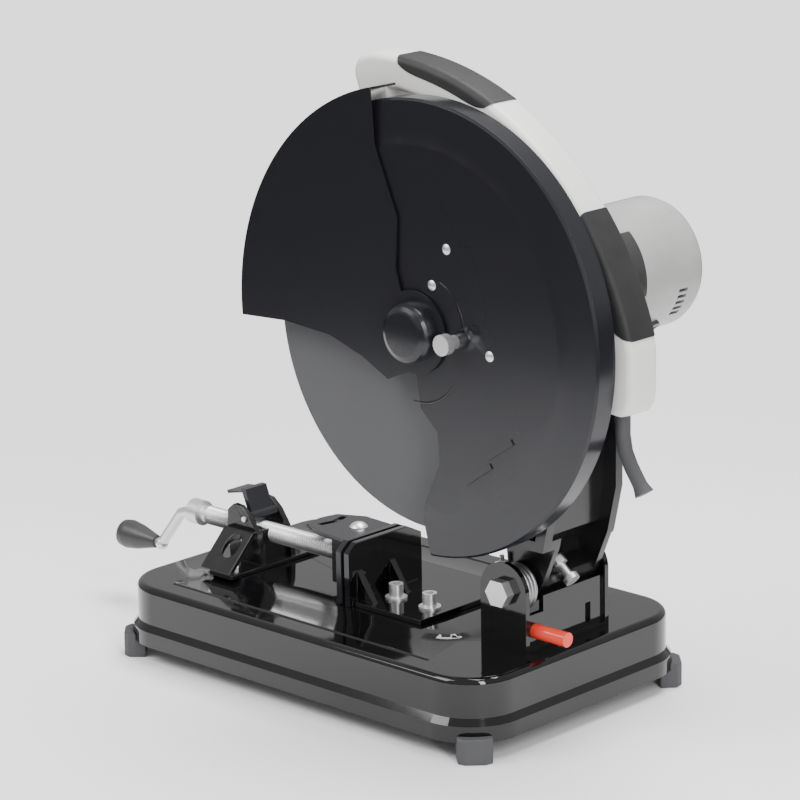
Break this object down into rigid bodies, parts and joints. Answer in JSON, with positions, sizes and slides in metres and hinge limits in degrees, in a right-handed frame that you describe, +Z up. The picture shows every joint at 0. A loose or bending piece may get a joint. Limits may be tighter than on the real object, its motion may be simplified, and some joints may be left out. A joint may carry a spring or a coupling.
{
  "type": "abrasive chop saw",
  "caption": "Abrasive chop saw with a pressed steel base, quick vise, spring-raised arm, side motor, D-shaped handle and a swinging guard over a cutting disc.",
  "frame": {"origin": "centre of the footprint at the underside of the feet", "axes": "+X from the vise crank to the arm pivot, +Z up, -Y towards the guard's open face"},
  "size_m": [0.6782, 0.3084, 0.576],
  "materials": {
    "black_gloss": "gloss",
    "rubber": "matte",
    "bright_steel": "bright",
    "spring_steel": "dark",
    "red_plastic": "gloss",
    "black_plastic": "satin",
    "light_plastic": "satin",
    "abrasive": "gritty",
    "cast_alloy": "cast",
    "core_steel": "laminated",
    "copper": "turned",
    "carbon": "matte"
  },
  "bodies": {
    "base": {"base_pan": "black_gloss", "rubber_feet": "rubber", "pivot_bracket": "black_gloss", "bracket_bolts": "bright_steel", "base_nuts": "bright_steel", "pivot_shaft": "bright_steel", "pivot_nut": "bright_steel", "torsion_spring": "spring_steel", "fence_plate": "black_gloss", "fence_washers": "bright_steel", "fence_bolts": "bright_steel", "screw_bracket": "black_gloss", "screw_bracket_bolts": "bright_steel", "nut_lever_pin": "bright_steel"},
    "nut_lever": {"nut_lever": "black_gloss"},
    "jaw_carriage": {"jaw_block": "black_gloss", "jaw_pin": "bright_steel"},
    "jaw_face": {"jaw_plate": "black_gloss"},
    "screw": {"vise_screw": "bright_steel", "crank_handle": "bright_steel"},
    "knob": {"crank_knob": "black_plastic"},
    "lock_pin": {"lock_pin": "bright_steel", "lock_pin_sleeve": "red_plastic"},
    "head": {"arm_casting": "black_gloss", "arm_bolts": "bright_steel", "stop_bolt": "bright_steel", "stop_nut": "bright_steel", "gear_case": "cast_alloy", "gear_cover": "cast_alloy", "bearings": "bright_steel", "field_stator": "core_steel", "motor_housing": "light_plastic", "motor_end_cap": "light_plastic", "blank_label": "black_plastic", "carbon_brushes": "carbon", "brush_caps": "black_plastic", "main_guard": "black_gloss", "guard_back_plate": "black_gloss", "guard_screws": "bright_steel", "handle_left": "light_plastic", "handle_right": "light_plastic", "top_grip": "rubber", "rear_grip": "rubber", "switch_body": "black_plastic", "strain_boot": "rubber"},
    "spindle": {"spindle": "bright_steel", "gear_wheel": "bright_steel", "inner_flange": "bright_steel", "outer_flange": "bright_steel", "clamp_bolt": "bright_steel", "cutting_disc": "abrasive"},
    "rotor": {"armature": "core_steel", "commutator": "copper", "cooling_fan": "black_plastic", "pinion": "bright_steel"},
    "guard": {"moving_guard": "black_gloss"},
    "thumb_screw": {"thumb_screw": "bright_steel"},
    "trigger": {"trigger": "black_plastic"},
    "lock_button": {"lock_button": "black_plastic"},
    "shaft_lock": {"shaft_lock_button": "black_plastic"}
  },
  "joints": [
    {"name": "arm_swing", "type": "hinge", "parent": "base", "child": "head", "pos_m": [0.18486, -0.0088, 0.124], "axis": [0, -1, 0], "range_deg": [0, 40], "stiffness_Nm_per_rad": 20, "springref_deg": -22.92},
    {"name": "disc_spin", "type": "hinge", "parent": "head", "child": "spindle", "pos_m": [0.12536, -0.0838, 0.351], "axis": [0, 1, 0], "continuous": true},
    {"name": "motor_spin", "type": "hinge", "parent": "head", "child": "rotor", "pos_m": [0.17786, -0.0088, 0.377], "axis": [0, 1, 0], "continuous": true},
    {"name": "guard_swing", "type": "hinge", "parent": "head", "child": "guard", "pos_m": [0.12536, -0.1058, 0.351], "axis": [0, 1, 0], "range_deg": [0, 70]},
    {"name": "thumb_screw_turn", "type": "hinge", "parent": "head", "child": "thumb_screw", "pos_m": [0.16936, -0.1058, 0.349], "axis": [0, 1, 0], "continuous": true},
    {"name": "jaw_slide", "type": "slide", "parent": "base", "child": "jaw_carriage", "axis": [1, 0, 0], "range_m": [-0.058, 0.001]},
    {"name": "screw_turn", "type": "hinge", "parent": "jaw_carriage", "child": "screw", "pos_m": [-0.19314, -0.0308, 0.106], "axis": [1, 0, 0], "range_deg": [-6960, 120]},
    {"name": "crank_knob_spin", "type": "hinge", "parent": "screw", "child": "knob", "pos_m": [-0.31314, -0.0308, 0.064], "axis": [1, 0, 0], "continuous": true},
    {"name": "jaw_swivel", "type": "hinge", "parent": "jaw_carriage", "child": "jaw_face", "pos_m": [-0.02014, -0.0288, 0.131], "axis": [0, 0, 1], "range_deg": [-2.5, 2.5]},
    {"name": "nut_lever_tilt", "type": "hinge", "parent": "base", "child": "nut_lever", "pos_m": [-0.14414, -0.0308, 0.121], "axis": [0, 1, 0], "range_deg": [0, 30]},
    {"name": "lock_pin_slide", "type": "slide", "parent": "base", "child": "lock_pin", "axis": [-1, 0, 0], "range_m": [0, 0.012]},
    {"name": "trigger_pull", "type": "slide", "parent": "head", "child": "trigger", "axis": [0.2756, 0, 0.9613], "range_m": [0, 0.004], "stiffness_N_per_m": 800, "springref_m": -0.002},
    {"name": "lock_button_press", "type": "slide", "parent": "head", "child": "lock_button", "axis": [0, -1, 0], "range_m": [0, 0.0025], "stiffness_N_per_m": 500, "springref_m": -0.001},
    {"name": "shaft_lock_press", "type": "slide", "parent": "head", "child": "shaft_lock", "axis": [0, 0, -1], "range_m": [0, 0.0018], "stiffness_N_per_m": 800, "springref_m": -0.001}
  ],
  "couplings": [
    {"joint": "motor_spin", "follows": "disc_spin", "ratio": -4.5},
    {"joint": "screw_turn", "follows": "jaw_slide", "rad_per_m": 2094.4}
  ]
}
